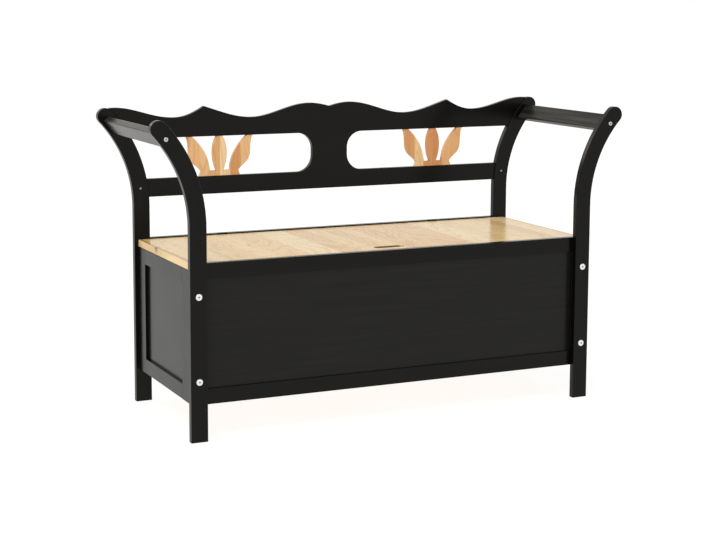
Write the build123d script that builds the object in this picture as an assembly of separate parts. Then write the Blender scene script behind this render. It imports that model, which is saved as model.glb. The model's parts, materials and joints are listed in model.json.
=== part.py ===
from build123d import *
import math
import os

# Storage bench with a hinged pine seat. Millimetres, +X to the right as seen from the front, +Y to the
# back, +Z up. The origin is on the floor, under the middle of the bench.

# Whole bench
bench_height = 750
bench_depth = 440
post_span = 1078  # over the straight lower parts of the posts, left to right
box_floor_gap = 84
seat_height = 417

# Posts: flat boards, straight at first, then swept outwards to a round end
post_width = 41
post_thickness = 17
post_sweep_height = 249  # height of the curved part
post_bend_radius = 335  # to the centre line of the post
post_rounding = 1.5

# Armrests: flat boards that lean outwards with the posts
arm_drop = 41  # from the top of the bench to the middle of the board
arm_width = 45
arm_thickness = 18
arm_rounding = 4
arm_offset = 3  # outside the centre line of the posts

# Framed box under the seat
rail_height = 37
rail_arris = 0.8
front_frame_thickness = 16
side_frame_thickness = 23
rear_frame_thickness = 16
side_stile_width = 55
rear_stile_width = 30
panel_thickness = 6
groove_depth = 6
panel_play = 0.5
front_panel_recess = 5
side_panel_recess = 7
rear_panel_recess = 5
rear_rail_rise = 3  # top of the rear rail above the seat
cleat_size = 18
cleat_lift = 6  # cleats above the underside of the box
floor_thickness = 8
floor_play = 1

# Seat lid
lid_thickness = 18
lid_end_inset = 1  # behind the outer faces of the side frames
lid_front_gap = 1
lid_rear_gap = 1.6
lid_rounding = 1.5
finger_slot_length = 80
finger_slot_width = 24
finger_slot_setback = 36  # from the front edge of the lid to the middle of the slot

# Backrest board
back_thickness = 14
back_height = 227
back_rail_height = 46
back_opening_height = 102
back_opening_start = 50  # from the middle of the bench
back_opening_rounding = 42
back_end_play = 0.2
back_rounding = 1.2
notch_drop = 10  # drops are measured down from the top of the bench
hump_drop = 0.5
inner_valley_drop = 33
peak_drop = 1.5
outer_valley_drop = 28.5
back_end_drop = 0.5
hump_offset = 58
inner_valley_share = 0.55  # of the way from the hump to the peak
peak_to_valley = 80
valley_to_post = 68
crest_past_post = 87
notch_slope = 0.28  # slopes of the waved top, going outwards from the middle
peak_inner_slope = 0.32
peak_outer_slope = -0.62
back_end_slope = -0.08
back_end_turn = 57  # degrees round the tip of the post, where the board stops

# Backrest tenons and their locking screws
tenon_thickness = 7
tenon_height = 30
tenon_length = 34
tenon_play = 0.1

# Tulip inserts
insert_to_post = 190  # from the middle of the insert to the straight part of the post
insert_thickness = 10
insert_base_half = 55
# petal edges: distance from the middle of the insert, and height as a share of the opening
side_petal_outer = ((50.5, 0.12), (58, 0.21), (76, 0.373), (82.5, 0.53), (83.8, 0.72), (85.4, 0.87), (90, 1))
side_petal_inner = ((74.5, 1), (61, 0.87), (47.3, 0.7), (36, 0.5), (30, 0.31), (26.8, 0.13))
middle_petal = ((9.5, 0.13), (19.2, 0.55), (16.8, 0.79), (8.2, 1))

# Fasteners
bolt_diameter = 6
bolt_head_diameter = 16
bolt_head_height = 2.4
bolt_socket = 4
bolt_below_seat = 75
bolt_above_box_bottom = 59
bolt_end_margin = 8
nut_diameter = 10
nut_length = 15
nut_setback = 30  # from the end of the side frame
arm_screw_diameter = 5
arm_screw_head = 10.5
arm_screw_head_height = 2.2
arm_screw_socket = 3
arm_screw_bite = 38
lock_screw_diameter = 3
lock_screw_head = 5
lock_screw_length = 14.5
wood_screw_diameter = 4
wood_screw_head = 8
wood_screw_length = 28
countersink_slope = 0.6  # head height over the step from shank to head
cleat_screw_margin = 46
cleat_screw_count = 5
side_cleat_screw_count = 3
dowel_diameter = 8
dowel_reach = 20  # into each of the two pieces
back_dowel_diameter = 6
back_dowel_reach = 18
back_dowel_angles = (30.5, 36.5)  # round the curve of the post
insert_dowel_diameter = 5
insert_dowel_reach = 10
insert_dowel_offset = 38
hole_play = 0.1

# Hinges
hinge_offset = 305
hinge_length = 26
leaf_thickness = 1
leaf_width = 14
leaf_gap = 0.2
knuckle_diameter = 4
knuckle_lift = 0.2  # knuckles above the seat
knuckle_gap = 0.3
pin_diameter = 2
pin_play = 0.05
hinge_screw_diameter = 2.5
hinge_screw_head = 4.4
hinge_screw_length = 14
hinge_screw_offset = 7.5
gain_play = 0.1

# Places that follow from the sizes
half_span = post_span / 2
post_inner = half_span - post_width
post_centre = half_span - post_width / 2
front_face = -bench_depth / 2
rear_face = bench_depth / 2
front_frame_face = front_face + post_thickness
front_frame_back = front_frame_face + front_frame_thickness
rear_frame_face = rear_face - post_thickness
side_outer = post_centre + side_frame_thickness / 2
side_inner = post_centre - side_frame_thickness / 2
side_top = seat_height - lid_thickness
post_bend_start = bench_height - post_sweep_height
arm_height = bench_height - arm_drop
back_underside = bench_height - back_height
bend_x = post_centre + post_bend_radius
inner_radius = post_bend_radius + post_width / 2
outer_radius = post_bend_radius - post_width / 2
tip_height = bench_height - post_width / 2
tip_angle = math.asin((tip_height - post_bend_start) / post_bend_radius)
arm_angle = math.asin((arm_height - post_bend_start) / post_bend_radius)
opening_bottom = back_underside + back_rail_height
opening_top = opening_bottom + back_opening_height
back_face = rear_face - back_thickness
back_middle = rear_face - back_thickness / 2
tenon_height_middle = back_underside + back_rail_height / 2
post_middle_y = rear_face - post_thickness / 2
cleat_bottom = box_floor_gap + cleat_lift
cleat_top = cleat_bottom + cleat_size
lid_half = side_outer - lid_end_inset
lid_front = front_frame_back + lid_front_gap
lid_rear = rear_frame_face - lid_rear_gap
hinge_y = (lid_rear + rear_frame_face) / 2
hinge_z = seat_height + knuckle_lift + knuckle_diameter / 2
hinge_places = (hinge_offset, -hinge_offset)
insert_offset = post_inner - insert_to_post
bolt_heights = (seat_height - bolt_below_seat, box_floor_gap + bolt_above_box_bottom)

forward = (0, -1, 0)
backward = (0, 1, 0)
outward = (1, 0, 0)


def block(x, y, z):
    """A box between two places along each axis."""
    middle = Pos((x[0] + x[1]) / 2, (y[0] + y[1]) / 2, (z[0] + z[1]) / 2)
    return middle * Box(abs(x[1] - x[0]), abs(y[1] - y[0]), abs(z[1] - z[0]))


def bar(x, y, z, along):
    """A box with the arrises that run along one axis eased."""
    return fillet(block(x, y, z).edges().filter_by(along), rail_arris)


def standing_board(outline, front, thickness):
    """A board cut to an outline drawn in X and Z, with its front face at the given Y."""
    return Pos(0, front, 0) * extrude(Plane.XZ * outline, amount=thickness, dir=backward)


def drive(shape, place, direction):
    """Puts a shape that runs up from the origin at a place, running in a direction."""
    return Plane(origin=place, z_dir=direction) * shape


def rod(diameter, length):
    return Cylinder(diameter / 2, length, align=(Align.CENTER, Align.CENTER, Align.MIN))


def mirrored(shape):
    return mirror(shape, about=Plane.YZ)


def both_sides(shapes):
    """A group of separate solids on the right of the bench and their twins on the left."""
    return Compound(children=list(shapes) + [mirrored(shape) for shape in shapes])


def on_bend(radius, angle):
    """A point of the post's curve, in X and Z."""
    return (bend_x - radius * math.cos(angle), post_bend_start + radius * math.sin(angle))


def on_tip(radius, angle):
    """A point round the tip of the post, in X and Z."""
    tip_x, tip_z = on_bend(post_bend_radius, tip_angle)
    return (tip_x - radius * math.cos(angle), tip_z + radius * math.sin(angle))


# Fasteners run up from the origin, with the underside or the flat of the head at the origin

def headed_bolt(diameter, length, head, head_height, socket):
    shape = rod(diameter, length) + Pos(0, 0, -head_height) * rod(head, head_height)
    rim = shape.edges().filter_by(GeomType.CIRCLE).sort_by(Axis.Z)[0]
    shape = fillet(rim, head_height * 0.6)
    key = extrude(RegularPolygon(socket / 2, 6, major_radius=False), amount=head_height)
    return shape - Pos(0, 0, -head_height) * key


def countersunk_screw(diameter, length, head, play=0):
    head_height = (head - diameter) * countersink_slope
    tip_length = diameter
    radius = diameter / 2 + play
    align = (Align.CENTER, Align.CENTER, Align.MIN)
    shape = Cone(head / 2 + play, radius, head_height, align=align)
    shape += Pos(0, 0, head_height) * rod(radius * 2, length - tip_length - head_height)
    return shape + Pos(0, 0, length - tip_length) * Cone(radius, radius / 4, tip_length, align=align)


def wood_screw(play=0):
    return countersunk_screw(wood_screw_diameter, wood_screw_length, wood_screw_head, play)


def hinge_screw(play=0):
    return countersunk_screw(hinge_screw_diameter, hinge_screw_length, hinge_screw_head, play)


def lock_screw(play=0):
    return countersunk_screw(lock_screw_diameter, lock_screw_length, lock_screw_head, play)


def post_bolt(length):
    return headed_bolt(bolt_diameter, length, bolt_head_diameter, bolt_head_height, bolt_socket)


def spread(count, half_length):
    """Even places along a line, from one end to the other."""
    return [half_length * (2 * step / (count - 1) - 1) for step in range(count)]


# Places of the fasteners on the right-hand side of the bench
arm_x, arm_z = on_bend(post_bend_radius - arm_offset, arm_angle)
lock_angle = math.asin((tenon_height_middle - post_bend_start) / post_bend_radius)
lock_x, lock_z = on_bend(post_bend_radius, lock_angle)
front_nut_y = front_frame_back + nut_setback
rear_nut_y = rear_frame_face - nut_setback
front_bolt_length = front_nut_y - front_face + bolt_end_margin
rear_bolt_length = rear_face - rear_nut_y + bolt_end_margin
arm_screw_length = post_thickness + arm_screw_bite
cleat_screw_places = spread(cleat_screw_count, side_inner - cleat_screw_margin)
side_cleat_middle = (front_frame_back + rear_frame_face) / 2
side_cleat_half = (rear_frame_face - front_frame_back) / 2 - cleat_size
side_cleat_places = [
    side_cleat_middle + place
    for place in spread(side_cleat_screw_count, side_cleat_half - cleat_screw_margin)
]


def bolt_holes(face, direction, length):
    hole = rod(bolt_diameter + 2 * hole_play, length + hole_play)
    return [drive(hole, (post_centre, face, height), direction) for height in bolt_heights]


def rear_dowel_holes(diameter, length):
    shape = Pos(0, 0, -length / 2) * rod(diameter, length)
    middle = rear_frame_face + rear_frame_thickness / 2
    heights = (seat_height - rail_height / 2, box_floor_gap + rail_height / 2)
    return [drive(shape, (post_inner, middle, height), outward) for height in heights]


def back_dowel_shapes(diameter, length):
    """Dowels square to the curve of the post, half in the post and half in the backrest."""
    shape = Pos(0, 0, -length / 2) * rod(diameter, length)
    dowels = []
    for degrees in back_dowel_angles:
        angle = math.radians(degrees)
        x, z = on_bend(inner_radius, angle)
        dowels.append(drive(shape, (x, back_middle, z), (math.cos(angle), 0, -math.sin(angle))))
    return dowels


def insert_dowel_shapes(diameter, length):
    shape = Pos(0, 0, -length / 2) * rod(diameter, length)
    places = (insert_offset - insert_dowel_offset, insert_offset + insert_dowel_offset)
    return [Pos(x, back_middle, opening_bottom) * shape for x in places]


def back_tenon(play):
    low = tenon_height_middle - tenon_height / 2 - play
    high = tenon_height_middle + tenon_height / 2 + play
    half = tenon_thickness / 2 + play
    # the tenon starts well inside the rail, and the mortise just outside the post
    return block(
        (post_inner - tenon_length, post_inner + tenon_length + play),
        (post_middle_y - half, post_middle_y + half),
        (low, high),
    )


# Posts

def post_outline():
    tip_x, tip_z = on_bend(post_bend_radius, tip_angle)
    half = post_width / 2
    tip = (tip_x + half * math.sin(tip_angle), tip_z + half * math.cos(tip_angle))
    outer = [on_bend(outer_radius, tip_angle * share) for share in (0, 0.5, 1)]
    inner = [on_bend(inner_radius, tip_angle * share) for share in (1, 0.5, 0)]
    return make_face([
        Line((post_inner, 0), (half_span, 0)),
        Line((half_span, 0), outer[0]),
        ThreePointArc(*outer),
        ThreePointArc(outer[-1], tip, inner[0]),
        ThreePointArc(*inner),
        Line(inner[-1], (post_inner, 0)),
    ])


def post_blank(front):
    board = standing_board(post_outline(), front, post_thickness)
    arrises = [
        edge
        for face in board.faces().filter_by(Axis.Y)
        for edge in face.edges()
        if edge.center().Z > post_rounding
    ]
    return fillet(arrises, post_rounding)


def arm_screw_hole(face, direction):
    hole = rod(arm_screw_diameter + 2 * hole_play, arm_screw_length + hole_play)
    return drive(hole, (arm_x, face, arm_z), direction)


def front_post():
    post = post_blank(front_face)
    return post - bolt_holes(front_face, backward, front_bolt_length) - arm_screw_hole(front_face, backward)


def rear_post():
    post = post_blank(rear_frame_face)
    post -= bolt_holes(rear_face, forward, rear_bolt_length)
    post -= arm_screw_hole(rear_face, forward)
    post -= rear_dowel_holes(dowel_diameter + 2 * hole_play, 2 * (dowel_reach + hole_play))
    post -= back_dowel_shapes(back_dowel_diameter + 2 * hole_play, 2 * (back_dowel_reach + hole_play))
    post -= back_tenon(tenon_play)
    return post - drive(lock_screw(hole_play), (lock_x, rear_frame_face, lock_z), backward)


# Armrests

def armrest():
    section = Rot(0, 0, -math.degrees(arm_angle)) * RectangleRounded(arm_thickness, arm_width, arm_rounding)
    board = standing_board(Pos(arm_x, arm_z) * section, front_frame_face, rear_frame_face - front_frame_face)
    return board - [arm_screw_hole(front_face, backward), arm_screw_hole(rear_face, forward)]


# Framed walls of the box. Each panel stands in grooves, and each short member has tongues in the
# grooves of the long ones.

def long_rail(half_length, front, thickness, recess, low, groove_on_top, height=rail_height):
    rail = bar((-half_length, half_length), (front, front + thickness), (low, low + height), Axis.X)
    edge = low + height if groove_on_top else low
    depth = -groove_depth if groove_on_top else groove_depth
    groove_front = front + recess
    return rail - block(
        (-half_length, half_length),
        (groove_front, groove_front + panel_thickness),
        (edge, edge + depth),
    )


def short_stile(inner, outer, front, thickness, recess):
    low = box_floor_gap + rail_height
    high = seat_height - rail_height
    tongue = (front + recess, front + recess + panel_thickness)
    stile = bar((inner, outer), (front, front + thickness), (low, high), Axis.Z)
    stile += block((inner, outer), tongue, (low - groove_depth, high + groove_depth))
    return stile - block((inner, inner + groove_depth), tongue, (low - groove_depth, high + groove_depth))


def wide_panel(half_length, front):
    reach = groove_depth - panel_play
    return block(
        (-half_length - reach, half_length + reach),
        (front, front + panel_thickness),
        (box_floor_gap + rail_height - reach, seat_height - rail_height + reach),
    )


def cleat_screws(face, direction, height):
    return [drive(wood_screw(), (x, face, height), direction) for x in cleat_screw_places]


def cleat_screw_holes(face, direction, height):
    return [drive(wood_screw(hole_play), (x, face, height), direction) for x in cleat_screw_places]


cleat_screw_height = cleat_bottom + cleat_size / 2
ledger_screw_height = side_top - cleat_size / 2
front_cleat_face = front_frame_back + cleat_size
rear_cleat_face = rear_frame_face - cleat_size


def front_frame():
    size = (side_outer, front_frame_face, front_frame_thickness, front_panel_recess)
    top = long_rail(*size, seat_height - rail_height, False)
    bottom = long_rail(*size, box_floor_gap, True)
    top -= cleat_screw_holes(front_cleat_face, forward, ledger_screw_height)
    bottom -= cleat_screw_holes(front_cleat_face, forward, cleat_screw_height)
    stile = short_stile(post_inner, *size)
    stile -= bolt_holes(front_face, backward, front_bolt_length)
    return {
        "front_top_rail": top,
        "front_bottom_rail": bottom,
        "front_right_stile": stile,
        "front_left_stile": mirrored(stile),
        "front_panel": wide_panel(post_inner, front_frame_face + front_panel_recess),
    }


def hinge_gain(centre, near, far):
    """Shallow seat for a hinge leaf, cut from one face to another."""
    half = hinge_length / 2 + gain_play
    low = hinge_z - knuckle_diameter / 2 - leaf_width - gain_play
    return block((centre - half, centre + half), (near, far), (low, seat_height))


def knuckle_notch(centre):
    """Room for the knuckles where the rear rail stands above the seat."""
    half = hinge_length / 2 + gain_play
    far = hinge_y + knuckle_diameter / 2 + gain_play
    height = (seat_height, seat_height + rear_rail_rise)
    return block((centre - half, centre + half), (rear_frame_face, far), height)


def hinge_screw_shapes(face, direction, play):
    height = hinge_z - knuckle_diameter / 2 - leaf_width / 2
    places = [centre + side * hinge_screw_offset for centre in hinge_places for side in (-1, 1)]
    return [drive(hinge_screw(play), (x, face, height), direction) for x in places]


lid_leaf_back = hinge_y - leaf_gap / 2
frame_leaf_front = hinge_y + leaf_gap / 2


def rear_frame():
    size = (rear_frame_face, rear_frame_thickness, rear_panel_recess)
    top = long_rail(post_inner, *size, seat_height - rail_height, False, rail_height + rear_rail_rise)
    bottom = long_rail(post_inner, *size, box_floor_gap, True)
    top -= cleat_screw_holes(rear_cleat_face, backward, ledger_screw_height)
    bottom -= cleat_screw_holes(rear_cleat_face, backward, cleat_screw_height)
    top -= [
        hinge_gain(centre, rear_frame_face, frame_leaf_front + leaf_thickness) for centre in hinge_places
    ]
    top -= [knuckle_notch(centre) for centre in hinge_places]
    top -= hinge_screw_shapes(frame_leaf_front, backward, hole_play)
    dowels = rear_dowel_holes(dowel_diameter + 2 * hole_play, 2 * (dowel_reach + hole_play))
    top -= dowels + [mirrored(dowel) for dowel in dowels]
    bottom -= dowels + [mirrored(dowel) for dowel in dowels]
    stile = short_stile(post_inner - rear_stile_width, post_inner, *size)
    return {
        "rear_top_rail": top,
        "rear_bottom_rail": bottom,
        "rear_right_stile": stile,
        "rear_left_stile": mirrored(stile),
        "rear_panel": wide_panel(post_inner - rear_stile_width, rear_frame_face + rear_panel_recess),
    }


def side_frame():
    """The right-hand wall: full-height stiles with the rails between them."""
    across = (side_inner, side_outer)
    groove_out = side_outer - side_panel_recess
    tongue = (groove_out - panel_thickness, groove_out)
    front_inner = front_frame_back + side_stile_width
    rear_inner = rear_frame_face - side_stile_width
    upright = (box_floor_gap, side_top)

    front_stile = bar(across, (front_frame_back, front_inner), upright, Axis.Z)
    front_stile -= block(tongue, (front_inner - groove_depth, front_inner), upright)
    rear_stile = bar(across, (rear_inner, rear_frame_face), upright, Axis.Z)
    rear_stile -= block(tongue, (rear_inner, rear_inner + groove_depth), upright)
    nut_hole = rod(nut_diameter + 2 * hole_play, post_centre + nut_length / 2 - side_inner + hole_play)
    for height in bolt_heights:
        front_stile -= drive(nut_hole, (side_inner, front_nut_y, height), outward)
        rear_stile -= drive(nut_hole, (side_inner, rear_nut_y, height), outward)
    front_stile -= bolt_holes(front_face, backward, front_bolt_length)
    rear_stile -= bolt_holes(rear_face, forward, rear_bolt_length)

    def rail(low, edge, depth):
        high = low + rail_height
        shape = bar(across, (front_inner, rear_inner), (low, high), Axis.Y)
        shape += block(tongue, (front_inner - groove_depth, rear_inner + groove_depth), (low, high))
        return shape - block(
            tongue,
            (front_inner - groove_depth, rear_inner + groove_depth),
            (edge, edge + depth),
        )

    reach = groove_depth - panel_play
    panel = block(
        tongue,
        (front_inner - reach, rear_inner + reach),
        (box_floor_gap + rail_height - reach, side_top - rail_height + reach),
    )
    pieces = {
        "top_rail": rail(side_top - rail_height, side_top - rail_height, groove_depth),
        "bottom_rail": rail(box_floor_gap, box_floor_gap + rail_height, -groove_depth),
        "front_stile": front_stile,
        "rear_stile": rear_stile,
    }
    holes = side_cleat_screws(hole_play)
    for name in pieces:
        pieces[name] = pieces[name] - holes
    pieces["panel"] = panel
    return pieces


# Floor of the box and the ledges that carry the seat

def side_cleat_screws(play):
    face = side_inner - cleat_size
    return [drive(wood_screw(play), (face, y, cleat_screw_height), outward) for y in side_cleat_places]


def cleats():
    long = (-side_inner, side_inner)
    front = (front_frame_back, front_cleat_face)
    rear = (rear_cleat_face, rear_frame_face)
    low = (cleat_bottom, cleat_top)
    high = (side_top - cleat_size, side_top)
    side = block((side_inner - cleat_size, side_inner), (front_cleat_face, rear_cleat_face), low)
    side -= side_cleat_screws(hole_play)
    return {
        "front_floor_cleat": block(long, front, low)
        - cleat_screw_holes(front_cleat_face, forward, cleat_screw_height),
        "rear_floor_cleat": block(long, rear, low)
        - cleat_screw_holes(rear_cleat_face, backward, cleat_screw_height),
        "right_floor_cleat": side,
        "left_floor_cleat": mirrored(side),
        "front_seat_ledge": block(long, front, high)
        - cleat_screw_holes(front_cleat_face, forward, ledger_screw_height),
        "rear_seat_ledge": block(long, rear, high)
        - cleat_screw_holes(rear_cleat_face, backward, ledger_screw_height),
    }


def floor_board():
    return block(
        (-side_inner + floor_play, side_inner - floor_play),
        (front_frame_back + floor_play, rear_frame_face - floor_play),
        (cleat_top, cleat_top + floor_thickness),
    )


# Seat lid with its finger slot

def seat_lid():
    lid = block((-lid_half, lid_half), (lid_front, lid_rear), (side_top, seat_height))
    slot = extrude(SlotOverall(finger_slot_length, finger_slot_width), amount=lid_thickness)
    lid -= Pos(0, lid_front + finger_slot_setback, side_top) * slot
    top_edges = lid.faces().sort_by(Axis.Z)[-1].edges()
    bottom_edges = lid.faces().sort_by(Axis.Z)[0].edges()
    lid = fillet(list(top_edges) + list(bottom_edges), lid_rounding)
    lid -= [hinge_gain(centre, lid_leaf_back - leaf_thickness, lid_rear) for centre in hinge_places]
    return lid - hinge_screw_shapes(lid_leaf_back, forward, hole_play)


# Hinges: the outer knuckles belong to the leaf on the rear rail, the middle one to the leaf on the lid

def knuckle(start, end):
    return drive(rod(knuckle_diameter, end - start), (start, hinge_y, hinge_z), outward)


def hinge_leaf(knuckles, near, far, face, direction):
    half = hinge_length / 2
    plate_top = hinge_z - knuckle_diameter / 2 - knuckle_gap
    plate_low = hinge_z - knuckle_diameter / 2 - leaf_width
    leaf = block((-half, half), (near, far), (plate_low, plate_top))
    for start, end in knuckles:
        leaf += block((start, end), (near, far), (plate_low, hinge_z)) + knuckle(start, end)
    bore = rod(pin_diameter + 2 * pin_play, hinge_length)
    leaf -= drive(bore, (-half, hinge_y, hinge_z), outward)
    height = plate_low + leaf_width / 2
    places = [(side * hinge_screw_offset, face, height) for side in (-1, 1)]
    return leaf - [drive(hinge_screw(hole_play), place, direction) for place in places]


def hinges():
    half = hinge_length / 2
    third = hinge_length / 6
    lid_knuckles = [(-third + knuckle_gap / 2, third - knuckle_gap / 2)]
    frame_knuckles = [(-half, -third - knuckle_gap / 2), (third + knuckle_gap / 2, half)]
    lid_leaf = hinge_leaf(lid_knuckles, lid_leaf_back - leaf_thickness, lid_leaf_back, lid_leaf_back, forward)
    frame_leaf = hinge_leaf(
        frame_knuckles, frame_leaf_front, frame_leaf_front + leaf_thickness, frame_leaf_front, backward
    )
    pin = drive(rod(pin_diameter, hinge_length), (-half, hinge_y, hinge_z), outward)
    pieces = {}
    for side, x in (("right", hinge_offset), ("left", -hinge_offset)):
        pieces[side + "_hinge_lid_leaf"] = Pos(x, 0, 0) * lid_leaf
        pieces[side + "_hinge_rail_leaf"] = Pos(x, 0, 0) * frame_leaf
        pieces[side + "_hinge_pin"] = Pos(x, 0, 0) * pin
    return pieces


# Backrest: one board between the rear posts, with a waved top and two openings

def top_wave():
    """The right-hand half of the top, from the notch in the middle to the post."""
    valley_x = post_inner - valley_to_post
    peak_x = valley_x - peak_to_valley
    inner_valley_x = hump_offset + inner_valley_share * (peak_x - hump_offset)
    notch = (0, bench_height - notch_drop)
    hump = (hump_offset, bench_height - hump_drop)
    inner_valley = (inner_valley_x, bench_height - inner_valley_drop)
    peak = (peak_x, bench_height - peak_drop)
    outer_valley = (valley_x, bench_height - outer_valley_drop)
    crest = (post_inner + crest_past_post, bench_height)
    end_x = on_tip(post_width / 2 + back_end_play, math.radians(back_end_turn))[0]
    end = (end_x, bench_height - back_end_drop)
    inner_slopes = [(1, notch_slope), (1, 0), (1, 0), (1, peak_inner_slope)]
    outer_slopes = [(1, peak_outer_slope), (1, 0), (1, 0), (1, back_end_slope)]
    inner = Spline(notch, hump, inner_valley, peak, tangents=inner_slopes)
    outer = Spline(peak, outer_valley, crest, end, tangents=outer_slopes)
    return inner, outer


def back_outline():
    inner, outer = top_wave()
    radius = inner_radius + back_end_play
    turn = math.radians(back_end_turn)
    low_angle = math.asin((back_underside - post_bend_start) / radius)
    # the end of the board follows the tip of the post first, and then its inner edge
    on_round = [
        on_tip(post_width / 2 + back_end_play, angle) for angle in (turn, (turn + tip_angle) / 2, tip_angle)
    ]
    on_edge = [on_bend(radius, angle) for angle in (tip_angle, (tip_angle + low_angle) / 2, low_angle)]
    half = make_face([
        inner,
        outer,
        Line(outer @ 1, on_round[0]),
        ThreePointArc(*on_round),
        ThreePointArc(*on_edge),
        Line(on_edge[-1], (0, back_underside)),
        Line((0, back_underside), (0, bench_height - notch_drop)),
    ])
    # the opening runs on past the end of the board, so the post closes it
    opening = Pos(back_opening_start, opening_bottom) * Rectangle(
        half_span, back_opening_height, align=(Align.MIN, Align.MIN)
    )
    rounding = min(back_opening_rounding, back_opening_height / 2 - 1)
    opening = fillet(opening.vertices().sort_by(Axis.X)[:2], rounding)
    half -= opening
    return half + mirror(half, about=Plane.YZ)


def backrest_board():
    board = standing_board(back_outline(), back_face, back_thickness)
    arrises = [edge for face in board.faces().filter_by(Axis.Y) for edge in face.edges()]
    # the blunt ends beside the tips of the posts stay sharp
    board = fillet([edge for edge in arrises if edge.length > 3 * back_rounding], back_rounding)
    tenon = back_tenon(0)
    board += [tenon, mirrored(tenon)]
    holes = back_dowel_shapes(back_dowel_diameter + 2 * hole_play, 2 * (back_dowel_reach + hole_play))
    holes += insert_dowel_shapes(insert_dowel_diameter + 2 * hole_play, 2 * (insert_dowel_reach + hole_play))
    holes.append(drive(lock_screw(hole_play), (lock_x, rear_frame_face, lock_z), backward))
    return board - holes - [mirrored(hole) for hole in holes]


# Tulip inserts: three petals on a low base, cut from one pine board

def tulip_outline():
    def at(across, share):
        return (across, opening_bottom + share * back_opening_height)

    outer = [at(*point) for point in side_petal_outer]
    inner = [at(*point) for point in side_petal_inner]
    middle = [at(*point) for point in middle_petal]
    half = make_face([
        Line(at(0, 0), at(insert_base_half, 0)),
        Line(at(insert_base_half, 0), outer[0]),
        Spline(*outer),
        Line(outer[-1], inner[0]),
        Spline(*inner),
        Line(inner[-1], middle[0]),
        Spline(*middle),
        Line(middle[-1], at(0, 1)),
        Line(at(0, 1), at(0, 0)),
    ])
    return half + mirror(half, about=Plane.YZ)


def tulip_insert():
    front = back_middle - insert_thickness / 2
    insert = Pos(insert_offset, 0, 0) * standing_board(tulip_outline(), front, insert_thickness)
    return insert - insert_dowel_shapes(
        insert_dowel_diameter + 2 * hole_play, 2 * (insert_dowel_reach + hole_play)
    )


# Bolts, nuts, screws and dowels

def fasteners():
    front_bolt = post_bolt(front_bolt_length)
    rear_bolt = post_bolt(rear_bolt_length)
    nut = Pos(0, 0, -nut_length / 2) * rod(nut_diameter, nut_length)
    thread = Pos(0, 0, -nut_diameter) * rod(bolt_diameter + 2 * hole_play, 2 * nut_diameter)
    arm_screw = headed_bolt(
        arm_screw_diameter, arm_screw_length, arm_screw_head, arm_screw_head_height, arm_screw_socket
    )

    def barrel_nuts(y):
        shapes = []
        for height in bolt_heights:
            place = (post_centre, y, height)
            shapes.append(drive(nut, place, outward) - drive(thread, place, backward))
        return shapes

    cleat = cleat_screws(front_cleat_face, forward, cleat_screw_height)
    cleat += cleat_screws(rear_cleat_face, backward, cleat_screw_height)
    side = side_cleat_screws(0)
    cleat += side + [mirrored(screw) for screw in side]
    ledge = cleat_screws(front_cleat_face, forward, ledger_screw_height)
    ledge += cleat_screws(rear_cleat_face, backward, ledger_screw_height)
    return {
        "front_post_bolts": both_sides(
            [drive(front_bolt, (post_centre, front_face, height), backward) for height in bolt_heights]
        ),
        "rear_post_bolts": both_sides(
            [drive(rear_bolt, (post_centre, rear_face, height), forward) for height in bolt_heights]
        ),
        "front_barrel_nuts": both_sides(barrel_nuts(front_nut_y)),
        "rear_barrel_nuts": both_sides(barrel_nuts(rear_nut_y)),
        "arm_screws": both_sides([
            drive(arm_screw, (arm_x, front_face, arm_z), backward),
            drive(arm_screw, (arm_x, rear_face, arm_z), forward),
        ]),
        "backrest_lock_screws": both_sides(
            [drive(lock_screw(), (lock_x, rear_frame_face, lock_z), backward)]
        ),
        "backrest_dowels": both_sides(back_dowel_shapes(back_dowel_diameter, 2 * back_dowel_reach)),
        "rear_frame_dowels": both_sides(rear_dowel_holes(dowel_diameter, 2 * dowel_reach)),
        "insert_dowels": both_sides(insert_dowel_shapes(insert_dowel_diameter, 2 * insert_dowel_reach)),
        "floor_cleat_screws": Compound(children=cleat),
        "seat_ledge_screws": Compound(children=ledge),
        "hinge_lid_screws": Compound(children=hinge_screw_shapes(lid_leaf_back, forward, 0)),
        "hinge_rail_screws": Compound(children=hinge_screw_shapes(frame_leaf_front, backward, 0)),
    }


def bench():
    pieces = {}
    for name, shape in (("front", front_post()), ("rear", rear_post())):
        pieces[name + "_right_post"] = shape
        pieces[name + "_left_post"] = mirrored(shape)
    pieces["right_armrest"] = armrest()
    pieces["left_armrest"] = mirrored(pieces["right_armrest"])
    pieces.update(front_frame())
    pieces.update(rear_frame())
    for name, shape in side_frame().items():
        pieces["right_side_" + name] = shape
        pieces["left_side_" + name] = mirrored(shape)
    pieces.update(cleats())
    pieces["floor_board"] = floor_board()
    pieces["backrest_board"] = backrest_board()
    pieces["right_tulip_insert"] = tulip_insert()
    pieces["left_tulip_insert"] = mirrored(pieces["right_tulip_insert"])
    pieces["seat_lid"] = seat_lid()
    pieces.update(hinges())
    pieces.update(fasteners())
    return pieces


os.makedirs("parts", exist_ok=True)
for node, piece in bench().items():
    export_step(piece, "parts/" + node + ".step")
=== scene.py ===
import bpy
import json
from math import pi, radians
from mathutils import Euler, Matrix, Quaternion, Vector


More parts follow.
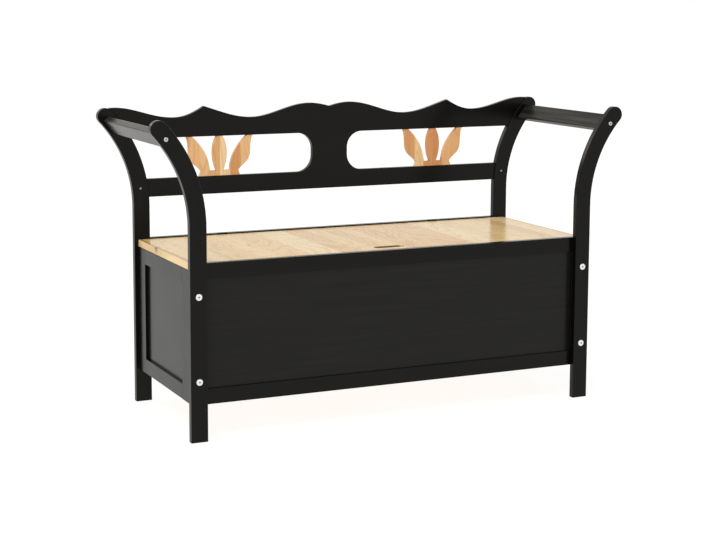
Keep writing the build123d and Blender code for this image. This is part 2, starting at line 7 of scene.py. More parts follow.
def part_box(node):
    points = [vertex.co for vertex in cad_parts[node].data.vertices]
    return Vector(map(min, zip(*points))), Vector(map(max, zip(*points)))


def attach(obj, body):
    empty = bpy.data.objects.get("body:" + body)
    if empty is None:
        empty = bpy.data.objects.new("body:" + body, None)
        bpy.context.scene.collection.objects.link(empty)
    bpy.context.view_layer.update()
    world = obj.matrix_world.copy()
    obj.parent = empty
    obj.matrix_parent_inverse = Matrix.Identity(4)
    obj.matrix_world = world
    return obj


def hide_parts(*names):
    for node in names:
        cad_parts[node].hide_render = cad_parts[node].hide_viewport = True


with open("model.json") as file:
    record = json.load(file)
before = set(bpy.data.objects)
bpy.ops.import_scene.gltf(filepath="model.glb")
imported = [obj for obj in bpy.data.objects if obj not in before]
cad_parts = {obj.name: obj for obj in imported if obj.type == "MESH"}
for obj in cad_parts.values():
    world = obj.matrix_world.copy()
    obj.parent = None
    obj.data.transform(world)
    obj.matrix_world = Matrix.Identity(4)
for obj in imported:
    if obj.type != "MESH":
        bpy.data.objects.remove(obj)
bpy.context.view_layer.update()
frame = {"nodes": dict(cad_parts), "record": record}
nodes = frame["nodes"]
print("frame loaded:", len(nodes), "nodes")


# node helpers

def hexColor(text):
    # sRGB hex to the linear colour that Blender wants
    channels = [int(text[i:i + 2], 16) / 255 for i in (1, 3, 5)]
    return [c / 12.92 if c <= 0.04045 else ((c + 0.055) / 1.055) ** 2.4 for c in channels] + [1.0]


def addNode(tree, kind, settings=None, links=None, stops=()):
    # a setting is a property or an input of the node, and stops are those of a colour ramp
    node = tree.nodes.new(kind)
    for key, value in (settings or {}).items():
        if isinstance(key, str) and hasattr(node, key):
            setattr(node, key, value)
        else:
            node.inputs[key].default_value = value
    for key, socket in (links or {}).items():
        tree.links.new(socket, node.inputs[key])
    if stops:
        elements = node.color_ramp.elements
        while len(elements) < len(stops):
            elements.new(0.5)
        for element, (place, color) in zip(elements, stops):
            element.position = place
            element.color = hexColor(color) if isinstance(color, str) else [color] * 3 + [1.0]
    return node


def newMaterial(name):
    material = bpy.data.materials.new(name)
    material.use_nodes = True
    tree = material.node_tree
    tree.nodes.clear()
    output = addNode(tree, "ShaderNodeOutputMaterial")
    shader = addNode(tree, "ShaderNodeBsdfPrincipled")
    tree.links.new(shader.outputs["BSDF"], output.inputs["Surface"])
    return material, tree, shader


def stretched(along, fine, axis):
    # scale for a pattern that is drawn out along one axis, both in repeats per metre
    return [along if name == axis else fine for name in "XYZ"]


# satin black paint, sprayed on planed pine: the grain shows faintly through the film, and the film
# mirrors pale things softly

paint = {
    "colors": {           # film, and the grain that shows through it; the arms' paler film and grain are painted sheen
        "frame": ("#060605", "#0b0a09"),
        "panel": ("#131312", "#191817"),
        # painted sheen: the arms' film and grain colours are paler than the frame's, to stand for streaked
        # reflection along the arms
        "arm": ("#171614", "#3c3931"),
    },
    "specular": {"frame": 0.155, "panel": 0.155, "arm": 0.11},
    "sheenTint": "#fffdf6",
    "roughness": (0.19, 0.27),
    "streakMm": 9,        # real grain is 1 to 3 mm, drawn coarser so that it shows
    "streakLengthMm": 260,
    "grainSpan": (0.35, 0.7),   # of the grain pattern, from film to grain
    "cloudMm": 160,       # slow change of the film's sheen
    "glossGrain": 0.5,    # how much the grain adds to that change
    "glossSpan": (0.45, 1.05),
    "grainDepthMm": 0.01,
    "waveMm": 15,         # planing waves along the board, which streak the sheen at a low angle
    "waveLengthMm": 600,
    "waveDepthMm": 0.09,
    "edgeMm": 1.2,        # softening of the arrises
    "edgeSamples": 4,
}


def paintMaterial(board, axis):
    material, tree, shader = newMaterial("satinBlackPaint" + board.capitalize() + axis)
    place = addNode(tree, "ShaderNodeTexCoord").outputs["Object"]
    scale = stretched(1000 / paint["streakLengthMm"], 1000 / paint["streakMm"], axis)
    drawn = addNode(tree, "ShaderNodeMapping", {"Scale": scale}, {"Vector": place})
    grain = addNode(
        tree, "ShaderNodeTexNoise", {"Scale": 1, "Detail": 4, "Roughness": 0.6},
        {"Vector": drawn.outputs[0]},
    )
    cloud = addNode(
        tree, "ShaderNodeTexNoise", {"Scale": 1000 / paint["cloudMm"], "Detail": 2}, {"Vector": place}
    )
    # base colour from the film and grain colours; on the arms these paler colours are a painted sheen
    tint = addNode(
        tree, "ShaderNodeValToRGB", None, {"Fac": grain.outputs["Fac"]},
        list(zip(paint["grainSpan"], paint["colors"][board])),
    )
    blend = addNode(
        tree, "ShaderNodeMath", {"operation": "MULTIPLY_ADD", 1: paint["glossGrain"]},
        {0: grain.outputs["Fac"], 2: cloud.outputs["Fac"]},
    )
    start, end = paint["glossSpan"]
    low, high = paint["roughness"]
    gloss = addNode(
        tree, "ShaderNodeMapRange", {"From Min": start, "From Max": end, "To Min": low, "To Max": high},
        {"Value": blend.outputs[0]},
    )
    soft = addNode(
        tree, "ShaderNodeBevel", {"samples": paint["edgeSamples"], "Radius": paint["edgeMm"] / 1000}
    )
    waveScale = stretched(1000 / paint["waveLengthMm"], 1000 / paint["waveMm"], axis)
    waved = addNode(tree, "ShaderNodeMapping", {"Scale": waveScale}, {"Vector": place})
    wave = addNode(tree, "ShaderNodeTexNoise", {"Scale": 1, "Detail": 1}, {"Vector": waved.outputs[0]})
    uneven = addNode(
        tree, "ShaderNodeBump", {"Distance": paint["waveDepthMm"] / 1000},
        {"Height": wave.outputs["Fac"], "Normal": soft.outputs[0]},
    )
    bump = addNode(
        tree, "ShaderNodeBump", {"Distance": paint["grainDepthMm"] / 1000},
        {"Height": grain.outputs["Fac"], "Normal": uneven.outputs[0]},
    )
    tree.links.new(tint.outputs["Color"], shader.inputs["Base Color"])
    tree.links.new(gloss.outputs[0], shader.inputs["Roughness"])
    tree.links.new(bump.outputs[0], shader.inputs["Normal"])
    shader.inputs["Specular IOR Level"].default_value = paint["specular"][board]
    shader.inputs["Specular Tint"].default_value = hexColor(paint["sheenTint"])
    return material


# lacquered pine, glued up from staves: each stave has its own tone, with reddish latewood lines, a few
# knots and a thin glue line, all under a clear satin film

pineSeat = {
    "name": "lacqueredPineSeat",
    "along": "Y",
    "staveMm": 54,
    "swayMm": 410,       # staves differ in width, in waves of this length
    "sway": 0.45,
    "seed": 54465,       # gives the order of the staves' tones, paler to both ends
    "tones": [(0.0, "#dab078"), (0.25, "#e3bb82"), (0.5, "#e8c589"), (0.75, "#ecce95"), (1.0, "#f0d6a2")],
    "latewood": "#c08a4c",
    "latewoodShare": 0.15,
    "ringMm": 18,
    "fibreShade": (0.97, 1.015),
    "knotShare": 0.6,
    "heartMm": (-524, 8),  # brown heartwood line at the left end, and half its width
    "heartColor": "#9a641a",
    "edgeKnotMm": (-530, 60, 416),  # one knot on the left arris
    "edgeKnotReachMm": 15,
    "edgeKnotColor": "#7e501c",
    "specular": 0.14,
    "roughness": 0.24,
}
pineInsert = {
    "name": "lacqueredPineInsert",
    "along": "Z",
    "staveMm": 28,
    "swayMm": 400,
    "sway": 0.0,
    "seed": 114357,
    "tones": [
        (0.0, "#c67f45"), (0.2, "#d0935c"), (0.4, "#dda970"),
        (0.6, "#e4b57e"), (0.8, "#eac48f"), (1.0, "#efd0a0"),
    ],
    "latewood": "#b06a34",
    "latewoodShare": 0.3,
    "ringMm": 8,
    "fibreShade": (0.9, 1.06),
    "knotShare": 0,
    "heartMm": None,
    "specular": 0.4,
    "roughness": 0.36,
}
pine = {
    "logShift": 7.0,     # metres between the places in the log that staves are cut from, at most
    "fibreMm": 2.5,      # rings and fibres are drawn at the wide end of real pine so that they show
    "fibreRepeats": 9,   # per metre along the grain
    "fibreSpan": (0.3, 0.7),
    "fibreBump": 0.05,
    "fibreDepthMm": 0.05,
    "figureLengthMm": 420,
    "figureRings": 6,    # rings to one cell of the figure, and how much they crowd
    "ringCrowd": 2.2,
    "latewoodRise": [(0.0, 0.0), (0.55, 0.15), (0.86, 1.0), (1.0, 0.0)],  # over one year's ring
    "latewoodGloss": (-0.03, 0.05),
    "knotCellMm": (150, 310),
    "knotMm": 9,
    "knotCore": 0.3,     # share of a knot that is dark all over
    "knotColor": "#8a4f22",
    "glueLine": 0.012,   # share of a stave's width
    "glueShade": 0.72,
    "heartShare": 0.85,
    "heartWaverMm": 16,
    "endGrain": "#6b4324",
    "endShare": 0.85,
    "endSpan": (0.6, 0.95),
}


def pineMaterial(look):
    material, tree, shader = newMaterial(look["name"])
    coords = addNode(tree, "ShaderNodeTexCoord")
    place = coords.outputs["Object"]
    across = addNode(tree, "ShaderNodeSeparateXYZ", None, {"Vector": place}).outputs["X"]

    # number of the stave, and how far across it the point lies
    wave = addNode(
        tree, "ShaderNodeMath", {"operation": "MULTIPLY", 1: 2 * pi * 1000 / look["swayMm"]}, {0: across}
    )
    sway = addNode(tree, "ShaderNodeMath", {"operation": "SINE"}, {0: wave.outputs[0]})
    offset = addNode(
        tree, "ShaderNodeMath", {"operation": "MULTIPLY", 1: look["sway"]}, {0: sway.outputs[0]}
    )
    counted = addNode(
        tree, "ShaderNodeMath", {"operation": "MULTIPLY_ADD", 1: 1000 / look["staveMm"]},
        {0: across, 2: offset.outputs[0]},
    )
    number = addNode(tree, "ShaderNodeMath", {"operation": "FLOOR"}, {0: counted.outputs[0]})
    drawn = addNode(
        tree, "ShaderNodeMath", {"operation": "ADD", 1: look["seed"]}, {0: number.outputs[0]}
    )
    chance = addNode(
        tree, "ShaderNodeTexWhiteNoise", {"noise_dimensions": "1D"}, {"W": drawn.outputs[0]}
    )
    tone = addNode(
        tree, "ShaderNodeValToRGB", None, {"Fac": chance.outputs["Value"]}, look["tones"]
    )

    # every stave is cut from another place in the log
    shift = addNode(
        tree, "ShaderNodeVectorMath", {"operation": "SCALE", "Scale": pine["logShift"]},
        {0: chance.outputs["Color"]},
    )
    moved = addNode(
        tree, "ShaderNodeVectorMath", {"operation": "ADD"}, {0: place, 1: shift.outputs[0]}
    )
    figureMm = look["ringMm"] * pine["figureRings"]
    figureScale = stretched(1000 / pine["figureLengthMm"], 1000 / figureMm, look["along"])
    figurePlace = addNode(
        tree, "ShaderNodeMapping", {"Scale": figureScale}, {"Vector": moved.outputs[0]}
    )
    figure = addNode(
        tree, "ShaderNodeTexNoise", {"Scale": 1, "Detail": 1, "Distortion": 0.3},
        {"Vector": figurePlace.outputs[0]},
    )
    rings = addNode(
        tree, "ShaderNodeMath", {"operation": "MULTIPLY", 1: pine["figureRings"] * pine["ringCrowd"]},
        {0: figure.outputs["Fac"]},
    )
    saw = addNode(tree, "ShaderNodeMath", {"operation": "FRACT"}, {0: rings.outputs[0]})
    late = addNode(
        tree, "ShaderNodeValToRGB", None, {"Fac": saw.outputs[0]}, pine["latewoodRise"]
    )
    fibreScale = stretched(pine["fibreRepeats"], 1000 / pine["fibreMm"], look["along"])
    fibrePlace = addNode(
        tree, "ShaderNodeMapping", {"Scale": fibreScale}, {"Vector": moved.outputs[0]}
    )
    fibre = addNode(
        tree, "ShaderNodeTexNoise", {"Scale": 1, "Detail": 5, "Roughness": 0.65},
        {"Vector": fibrePlace.outputs[0]},
    )
    lateShare = addNode(
        tree, "ShaderNodeMath", {"operation": "MULTIPLY", 1: look["latewoodShare"]},
        {0: late.outputs["Color"]},
    )
    grained = addNode(
        tree, "ShaderNodeMix", {"data_type": "RGBA", 7: hexColor(look["latewood"])},
        {0: lateShare.outputs[0], 6: tone.outputs["Color"]},
    )
    start, end = pine["fibreSpan"]
    dark, pale = look["fibreShade"]
    fibreTone = addNode(
        tree, "ShaderNodeMapRange", {"From Min": start, "From Max": end, "To Min": dark, "To Max": pale},
        {"Value": fibre.outputs["Fac"]},
    )
    fibred = addNode(
        tree, "ShaderNodeVectorMath", {"operation": "SCALE"},
        {0: grained.outputs[2], "Scale": fibreTone.outputs[0]},
    )

    # knots: small dark eyes in some of the cells
    wood = fibred.outputs[0]
    if look["knotShare"]:
        wide, long = pine["knotCellMm"]
        knotPlace = addNode(
            tree, "ShaderNodeMapping", {"Scale": stretched(1000 / long, 1000 / wide, look["along"])},
            {"Vector": moved.outputs[0]},
        )
        cells = addNode(tree, "ShaderNodeTexVoronoi", {"Scale": 1}, {"Vector": knotPlace.outputs[0]})
        rim = pine["knotMm"] / wide
        knot = addNode(
            tree, "ShaderNodeMapRange",
            {
                "From Min": rim, "From Max": pine["knotCore"] * rim,
                "To Min": 0, "To Max": look["knotShare"],
            },
            {"Value": cells.outputs["Distance"]},
        )
        wood = addNode(
            tree, "ShaderNodeMix", {"data_type": "RGBA", 7: hexColor(pine["knotColor"])},
            {0: knot.outputs[0], 6: wood},
        ).outputs[2]

    # glue line at each side of a stave
    edge = addNode(tree, "ShaderNodeMath", {"operation": "PINGPONG", 1: 0.5}, {0: counted.outputs[0]})
    glue = addNode(
        tree, "ShaderNodeMapRange",
        {"From Min": 0.0, "From Max": pine["glueLine"], "To Min": pine["glueShade"], "To Max": 1.0},
        {"Value": edge.outputs[0]},
    )
    wood = addNode(
        tree, "ShaderNodeVectorMath", {"operation": "SCALE"}, {0: wood, "Scale": glue.outputs[0]}
    ).outputs[0]

    # heartwood line, and the knot beside it
    if look["heartMm"]:
        middle, half = look["heartMm"]
        sweep = pine["heartWaverMm"] / 1000
        waver = addNode(
            tree, "ShaderNodeMath", {"operation": "MULTIPLY_ADD", 1: sweep, 2: -sweep / 2},
            {0: figure.outputs["Fac"]},
        )
        bent = addNode(tree, "ShaderNodeMath", {"operation": "ADD"}, {0: across, 1: waver.outputs[0]})
        away = addNode(
            tree, "ShaderNodeMath", {"operation": "SUBTRACT", 1: middle / 1000}, {0: bent.outputs[0]}
        )
        near = addNode(tree, "ShaderNodeMath", {"operation": "ABSOLUTE"}, {0: away.outputs[0]})
        heart = addNode(
            tree, "ShaderNodeMapRange",
            {"From Max": half / 1000, "To Min": pine["heartShare"], "To Max": 0.0},
            {"Value": near.outputs[0]},
        )
        wood = addNode(
            tree, "ShaderNodeMix", {"data_type": "RGBA", 7: hexColor(look["heartColor"])},
            {0: heart.outputs[0], 6: wood},
        ).outputs[2]
        eye = [c / 1000 for c in look["edgeKnotMm"]]
        reach = look["edgeKnotReachMm"] / 1000
        apart = addNode(tree, "ShaderNodeVectorMath", {"operation": "DISTANCE", 1: eye}, {0: place})
        edgeKnot = addNode(
            tree, "ShaderNodeMapRange",
            {
                "From Min": pine["knotCore"] * reach, "From Max": reach,
                "To Min": pine["heartShare"], "To Max": 0.0,
            },
            {"Value": apart.outputs["Value"]},
        )
        wood = addNode(
            tree, "ShaderNodeMix", {"data_type": "RGBA", 7: hexColor(look["edgeKnotColor"])},
            {0: edgeKnot.outputs[0], 6: wood},
        ).outputs[2]

    # end grain is darker and takes in more lacquer
    facing = addNode(tree, "ShaderNodeSeparateXYZ", None, {"Vector": coords.outputs["Normal"]})
    endOn = addNode(
        tree, "ShaderNodeMath", {"operation": "ABSOLUTE"}, {0: facing.outputs[look["along"]]}
    )
    start, end = pine["endSpan"]
    endShare = addNode(
        tree, "ShaderNodeMapRange",
        {"From Min": start, "From Max": end, "To Min": 0, "To Max": pine["endShare"]},
        {"Value": endOn.outputs[0]},
    )
    ended = addNode(
        tree, "ShaderNodeMix", {"data_type": "RGBA", 7: hexColor(pine["endGrain"])},
        {0: endShare.outputs[0], 6: wood},
    )

    bump = addNode(
        tree, "ShaderNodeBump", {"Strength": pine["fibreBump"], "Distance": pine["fibreDepthMm"] / 1000},
        {"Height": fibre.outputs["Fac"]},
    )
    low, high = (look["roughness"] + change for change in pine["latewoodGloss"])
    gloss = addNode(
        tree, "ShaderNodeMapRange", {"To Min": low, "To Max": high}, {"Value": late.outputs["Color"]}
    )
    tree.links.new(ended.outputs[2], shader.inputs["Base Color"])
    tree.links.new(gloss.outputs[0], shader.inputs["Roughness"])
    tree.links.new(bump.outputs[0], shader.inputs["Normal"])
    shader.inputs["Specular IOR Level"].default_value = look["specular"]
    return material


# bare woods of the inside: planed pine cleats, sanded birch plywood and turned beech dowels, all dull

bareWoods = {
    "bare_pine": {"name": "planedBarePine", "colors": ("#e4c390", "#cfa26a"), "grainMm": 4},
    "birch_plywood": {"name": "sandedBirchPlywood", "colors": ("#e0c79b", "#cfae7c"), "grainMm": 7},
    "beech_dowel": {"name": "turnedBeech", "colors": ("#d9b187", "#c49468"), "grainMm": 2},
}
bareWood = {
    "grainRepeats": 5,   # per metre along the grain
    "grainSpan": (0.3, 0.75),
    "grainBump": 0.3,
    "grainDepthMm": 0.1,
    "roughness": 0.62,
}


def bareWoodMaterial(look, axis):
    material, tree, shader = newMaterial(look["name"] + "Grain" + axis)
    place = addNode(tree, "ShaderNodeTexCoord").outputs["Object"]
    scale = stretched(bareWood["grainRepeats"], 1000 / look["grainMm"], axis)
    drawn = addNode(tree, "ShaderNodeMapping", {"Scale": scale}, {"Vector": place})
    grain = addNode(
        tree, "ShaderNodeTexNoise", {"Scale": 1, "Detail": 5, "Roughness": 0.6},
        {"Vector": drawn.outputs[0]},
    )
    tint = addNode(
        tree, "ShaderNodeValToRGB", None, {"Fac": grain.outputs["Fac"]},
        list(zip(bareWood["grainSpan"], look["colors"])),
    )
    bump = addNode(
        tree, "ShaderNodeBump",
        {"Strength": bareWood["grainBump"], "Distance": bareWood["grainDepthMm"] / 1000},
        {"Height": grain.outputs["Fac"]},
    )
    tree.links.new(tint.outputs["Color"], shader.inputs["Base Color"])
    tree.links.new(bump.outputs[0], shader.inputs["Normal"])
    shader.inputs["Roughness"].default_value = bareWood["roughness"]
    return material


# fittings: zinc plating on the bolts and screws, which glints and has a fine spangle, and black oxide on
# the hinges, dark with a dull shine

# recess: how dark the painted shade makes the colour deep in a socket or corner
metals = {
    "zinc_plated_steel": {
        "name": "brightZincPlatedSteel", "colors": ("#d9dbdd", "#f0f1f1"),
        "roughness": (0.2, 0.34), "recess": 0.15,
    },
    "satin_zinc": {
        "name": "satinZincPlatedSteel", "colors": ("#b2b4b6", "#c8c9ca"),
        "roughness": (0.3, 0.45), "recess": 0.35,
    },
    "dull_zinc": {
        "name": "dullZincPlatedSteel", "colors": ("#8f9092", "#b4b5b6"),
        "roughness": (0.35, 0.5), "recess": 0.1,
    },
    "dark_hinge_steel": {
        "name": "blackOxideSteel", "colors": ("#1c1712", "#2b241d"),
        "roughness": (0.35, 0.5), "recess": 0.5,
    },
}
plating = {
    "spangleMm": 1.5,
    "spangleSpan": (0.35, 0.65),
    "recessMm": 4,       # how far the painted recess shade reaches from a corner
    "recessSamples": 8,
    "recessSpan": (0.35, 0.8),
}


def metalMaterial(look):
    material, tree, shader = newMaterial(look["name"])
    place = addNode(tree, "ShaderNodeTexCoord").outputs["Object"]
    spangle = addNode(
        tree, "ShaderNodeTexNoise", {"Scale": 1000 / plating["spangleMm"], "Detail": 3}, {"Vector": place}
    )
    tint = addNode(
        tree, "ShaderNodeValToRGB", None, {"Fac": spangle.outputs["Fac"]},
        list(zip(plating["spangleSpan"], look["colors"])),
    )
    # painted shade: an ambient-occlusion mask darkens the colour in sockets and corners
    exposed = addNode(
        tree, "ShaderNodeAmbientOcclusion",
        {"samples": plating["recessSamples"], "only_local": True, "Distance": plating["recessMm"] / 1000},
    )
    start, end = plating["recessSpan"]
    paintedRecessShade = addNode(
        tree, "ShaderNodeMapRange",
        {"From Min": start, "From Max": end, "To Min": look["recess"], "To Max": 1.0},
        {"Value": exposed.outputs["AO"]},
    )
    recessShadedTint = addNode(
        tree, "ShaderNodeVectorMath", {"operation": "SCALE"},
        {0: tint.outputs["Color"], "Scale": paintedRecessShade.outputs[0]},
    )
    low, high = look["roughness"]
    gloss = addNode(
        tree, "ShaderNodeMapRange", {"To Min": low, "To Max": high}, {"Value": spangle.outputs["Fac"]}
    )
    tree.links.new(recessShadedTint.outputs[0], shader.inputs["Base Color"])
    tree.links.new(gloss.outputs[0], shader.inputs["Roughness"])
    shader.inputs["Metallic"].default_value = 1.0
    return material


# finishes on the nodes

def grainAxis(node):
    # grain runs along the longest side of the board
    low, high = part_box(node)
    size = high - low
    return "XYZ"[max(range(3), key=lambda i: size[i])]


slotOf = {row["node"]: row["material_slot"] for row in frame["record"]["subparts"]}
paints = {(board, axis): paintMaterial(board, axis) for board in paint["colors"] for axis in "XYZ"}
bare = {
    (slot, axis): bareWoodMaterial(look, axis) for slot, look in bareWoods.items() for axis in "XYZ"
}
metal = {slot: metalMaterial(look) for slot, look in metals.items()}
duller = {"arm_screws": "satin_zinc", "backrest_lock_screws": "dull_zinc"}  # smaller screws shine less
seatPine = pineMaterial(pineSeat)
insertPine = pineMaterial(pineInsert)


def finishOf(node):
    slot = slotOf[node]
    if slot == "black_painted_wood":
        board = next((kind for kind in ("panel", "arm") if kind in node), "frame")
        return paints[board, grainAxis(node)]
    if slot == "lacquered_pine":
        return seatPine if node == "seat_lid" else insertPine
    if slot in bareWoods:
        return bare[slot, grainAxis(node)]
    return metal[duller.get(node, slot)]


for name, piece in nodes.items():
    piece.data.materials.clear()
    piece.data.materials.append(finishOf(name))
print("finishes set")


# wood screws: countersunk heads driven flush, with a cross recess, each turned as it came to rest

cleatX = (-461, -230.5, 0, 230.5, 461)
hingeX = (-312.5, -297.5, 297.5, 312.5)
screws = {
    "sides": 24,
    "countersink": 0.6,   # head height over the step from shank to head
    "tipWidth": 0.25,     # of the shank
    "recessReach": 0.6,   # of the head's width
    "recessWidth": 0.15,
    "recessDepth": 0.3,
    "recessTaper": (0.45, 0.8, 1.0),
    "restTurn": 37,       # degrees from one screw to the next
    "smoothAngle": 35,
    "topNormal": 0.9,     # a face that looks up more than this is the top
    "nodes": {
        "backrest_lock_screws": {
            "name": "backrestLockScrews", "headMm": 5, "shankMm": 3, "lengthMm": 14.5, "body": "frame",
            "rows": [((0, 1, 0), [(x, 203, 546) for x in (-521.54, 521.54)])],
        },
        "seat_ledge_screws": {
            "name": "seatLedgeScrews", "headMm": 8, "shankMm": 4, "lengthMm": 28, "body": "frame",
            "rows": [
                ((0, -1, 0), [(x, -169, 390) for x in cleatX]),
                ((0, 1, 0), [(x, 185, 390) for x in cleatX]),
            ],
        },
        "floor_cleat_screws": {
            "name": "floorCleatScrews", "headMm": 8, "shankMm": 4, "lengthMm": 28, "body": "frame",
            "rows": [
                ((0, -1, 0), [(x, -169, 99) for x in cleatX]),
                ((0, 1, 0), [(x, 185, 99) for x in cleatX]),
                ((-1, 0, 0), [(-489, y, 99) for y in (-123, 8, 139)]),
                ((1, 0, 0), [(489, y, 99) for y in (-123, 8, 139)]),
            ],
        },
        "hinge_lid_screws": {
            "name": "hingeLidScrews", "headMm": 4.4, "shankMm": 2.5, "lengthMm": 14, "body": "lid",
            "rows": [((0, -1, 0), [(x, 202.1, 410.2) for x in hingeX])],
        },
        "hinge_rail_screws": {
            "name": "hingeRailScrews", "headMm": 4.4, "shankMm": 2.5, "lengthMm": 14, "body": "frame",
            "rows": [((0, 1, 0), [(x, 202.3, 410.2) for x in hingeX])],
        },
    },
}


def makeScrew(look):
    head, shank, length = (look[key] / 1000 for key in ("headMm", "shankMm", "lengthMm"))
    headHeight = (head - shank) * screws["countersink"]
    steps = [(headHeight, shank / head), (length - headHeight - shank, 1.0), (shank, screws["tipWidth"])]
    bpy.ops.object.select_all(action="DESELECT")
    bpy.ops.mesh.primitive_circle_add(vertices=screws["sides"], radius=head / 2, fill_type="NGON")
    screw = bpy.context.object
    bpy.ops.object.mode_set(mode="EDIT")
    bpy.ops.mesh.select_all(action="SELECT")
    for rise, shrink in steps:
        bpy.ops.mesh.extrude_region_move(TRANSFORM_OT_translate={"value": (0, 0, rise)})
        bpy.ops.transform.resize(value=(shrink, shrink, 1.0))
    bpy.ops.mesh.select_all(action="SELECT")
    bpy.ops.mesh.normals_make_consistent(inside=False)
    bpy.ops.object.mode_set(mode="OBJECT")
    for turn in (0, 90):
        cutBar(screw, head, turn)
    bpy.ops.object.select_all(action="DESELECT")
    screw.select_set(True)
    bpy.context.view_layer.objects.active = screw
    bpy.ops.object.shade_smooth_by_angle(angle=radians(screws["smoothAngle"]))
    return screw


def cutBar(screw, head, turn):
    # one arm of the cross recess, narrower at its bottom
    bpy.ops.object.select_all(action="DESELECT")
    bpy.ops.mesh.primitive_cube_add(size=head, rotation=(0, 0, radians(turn)))
    bar = bpy.context.object
    bar.scale = (screws["recessReach"], screws["recessWidth"], 2 * screws["recessDepth"])
    bpy.ops.object.transform_apply(location=True, rotation=True, scale=True)
    bpy.ops.object.mode_set(mode="EDIT")
    bpy.ops.mesh.select_all(action="DESELECT")
    bpy.ops.mesh.select_mode(type="FACE")
    bpy.ops.object.mode_set(mode="OBJECT")
    for face in bar.data.polygons:
        face.select = face.normal.z > screws["topNormal"]
    bpy.ops.object.mode_set(mode="EDIT")
    taper = screws["recessTaper"]
    bpy.ops.transform.resize(value=taper if turn == 0 else (taper[1], taper[0], taper[2]))
    bpy.ops.object.mode_set(mode="OBJECT")
    cut = screw.modifiers.new("crossRecess", "BOOLEAN")
    cut.operation = "DIFFERENCE"
    cut.solver = "EXACT"
    cut.object = bar
    bpy.context.view_layer.objects.active = screw
    bpy.ops.object.modifier_apply(modifier=cut.name)
    bpy.data.objects.remove(bar)


def placeScrews(node, look):
    model = makeScrew(look)
    copies = []
    for drive, places in look["rows"]:
        facing = Vector(drive).to_track_quat("Z", "Y")
        for place in places:
            copy = model.copy()
            copy.data = model.data.copy()
            bpy.context.scene.collection.objects.link(copy)
            turn = Quaternion((0, 0, 1), radians(screws["restTurn"] * len(copies)))
            copy.location = Vector(place) / 1000
            copy.rotation_euler = (facing @ turn).to_euler()
            copies.append(copy)
    bpy.data.objects.remove(model)
    bpy.ops.object.select_all(action="DESELECT")
    for copy in copies:
        copy.select_set(True)
    bpy.context.view_layer.objects.active = copies[0]
    bpy.ops.object.transform_apply(location=True, rotation=True, scale=True)
    bpy.ops.object.join()
    piece = bpy.context.object
    piece.name = look["name"]
    piece.data.materials.clear()
    piece.data.materials.append(finishOf(node))
    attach(piece, look["body"])
    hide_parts(node)


for node, look in screws["nodes"].items():
    placeScrews(node, look)
print("screws made:", len(screws["nodes"]), "sets")


# white studio: pale floor that keeps the shadow, even white surround, a large soft lamp in front and a
# weaker warm one behind

studio = {
    "floorSize": 60,
    "floorColor": "#8a8a8a",
    "floorGlow": 0.83,
    "surround": 0.85,     # light on the bench
    "backdrop": 1.0,      # white, as the camera and mirrors see it
    "lamps": {
        "softLamp": {
            "place": (-2.6, -2.4, 3.4), "aim": (0, 0, 0.35), "size": 2.6, "watts": 60, "color": "#ffffff",
        },
        "rimLamp": {
            "place": (-1.9, 3.4, 2.5), "aim": (-0.6, 0, 0.5), "size": 1.6, "watts": 21, "color": "#fff1dc",
        },
    },
}


def makeFloor():
    bpy.ops.object.select_all(action="DESELECT")
    bpy.ops.mesh.primitive_plane_add(size=studio["floorSize"], location=(0, 0, 0))
    floor = bpy.context.object
    floor.name = "studioFloor"
    material, tree, shader = newMaterial("paleStudioFloor")
    shader.inputs["Base Color"].default_value = hexColor(studio["floorColor"])
    shader.inputs["Roughness"].default_value = 1.0
    shader.inputs["Specular IOR Level"].default_value = 0.0
    shader.inputs["Emission Color"].default_value = (1, 1, 1, 1)
    shader.inputs["Emission Strength"].default_value = studio["floorGlow"]
    floor.data.materials.append(material)


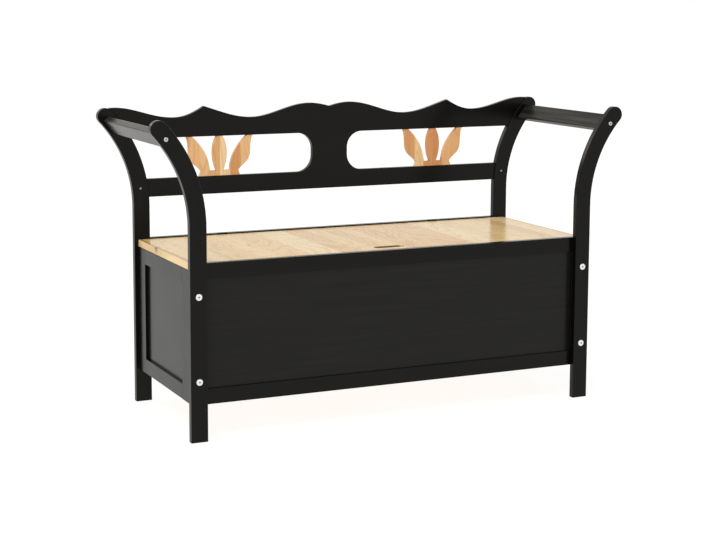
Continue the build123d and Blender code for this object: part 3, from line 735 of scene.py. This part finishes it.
def makeSurround():
    world = bpy.data.worlds.new("whiteStudio")
    bpy.context.scene.world = world
    world.use_nodes = True
    tree = world.node_tree
    tree.nodes.clear()
    path = addNode(tree, "ShaderNodeLightPath")
    seen = addNode(
        tree, "ShaderNodeMath", {"operation": "MAXIMUM"},
        {0: path.outputs["Is Camera Ray"], 1: path.outputs["Is Glossy Ray"]},
    )
    seenToo = addNode(
        tree, "ShaderNodeMath", {"operation": "MAXIMUM"},
        {0: seen.outputs[0], 1: path.outputs["Is Transmission Ray"]},
    )
    light = addNode(tree, "ShaderNodeBackground", {"Color": (1, 1, 1, 1), "Strength": studio["surround"]})
    white = addNode(tree, "ShaderNodeBackground", {"Color": (1, 1, 1, 1), "Strength": studio["backdrop"]})
    both = addNode(
        tree, "ShaderNodeMixShader", None, {0: seenToo.outputs[0], 1: light.outputs[0], 2: white.outputs[0]}
    )
    addNode(tree, "ShaderNodeOutputWorld", None, {"Surface": both.outputs[0]})


def makeLamp(name, look):
    data = bpy.data.lights.new(name, "AREA")
    data.size = look["size"]
    data.energy = look["watts"]
    data.color = hexColor(look["color"])[:3]
    lamp = bpy.data.objects.new(name, data)
    bpy.context.scene.collection.objects.link(lamp)
    lamp.location = look["place"]
    aim = Vector(look["aim"]) - lamp.location
    lamp.rotation_euler = aim.to_track_quat("-Z", "Y").to_euler()


makeFloor()
makeSurround()
for name, look in studio["lamps"].items():
    makeLamp(name, look)
print("studio set")


# camera where the photograph was taken, in metres and degrees, with the focal length in pixels

view = {
    "place": (-1.7211, -3.6374, 1.0335),
    "turn": 25.142,
    "down": 7.351,
    "roll": 0.251,
    "focalPixels": 1600.3,
    "frameWidth": 716,
    "shiftPixels": 70,
    "sensorMm": 36,
    "farEnd": 100,
}


def makeCamera():
    data = bpy.data.cameras.new("camera")
    data.sensor_width = view["sensorMm"]
    data.lens = view["focalPixels"] / view["frameWidth"] * view["sensorMm"]
    data.shift_y = -view["shiftPixels"] / view["frameWidth"]
    data.clip_end = view["farEnd"]
    camera = bpy.data.objects.new("camera", data)
    bpy.context.scene.collection.objects.link(camera)
    camera.location = view["place"]
    aimed = Euler((radians(90 - view["down"]), 0, radians(-view["turn"]))).to_matrix()
    camera.rotation_euler = (aimed @ Matrix.Rotation(radians(view["roll"]), 3, "Z")).to_euler()
    bpy.context.scene.camera = camera


makeCamera()
bpy.context.scene.view_settings.view_transform = "Standard"
print("camera set")
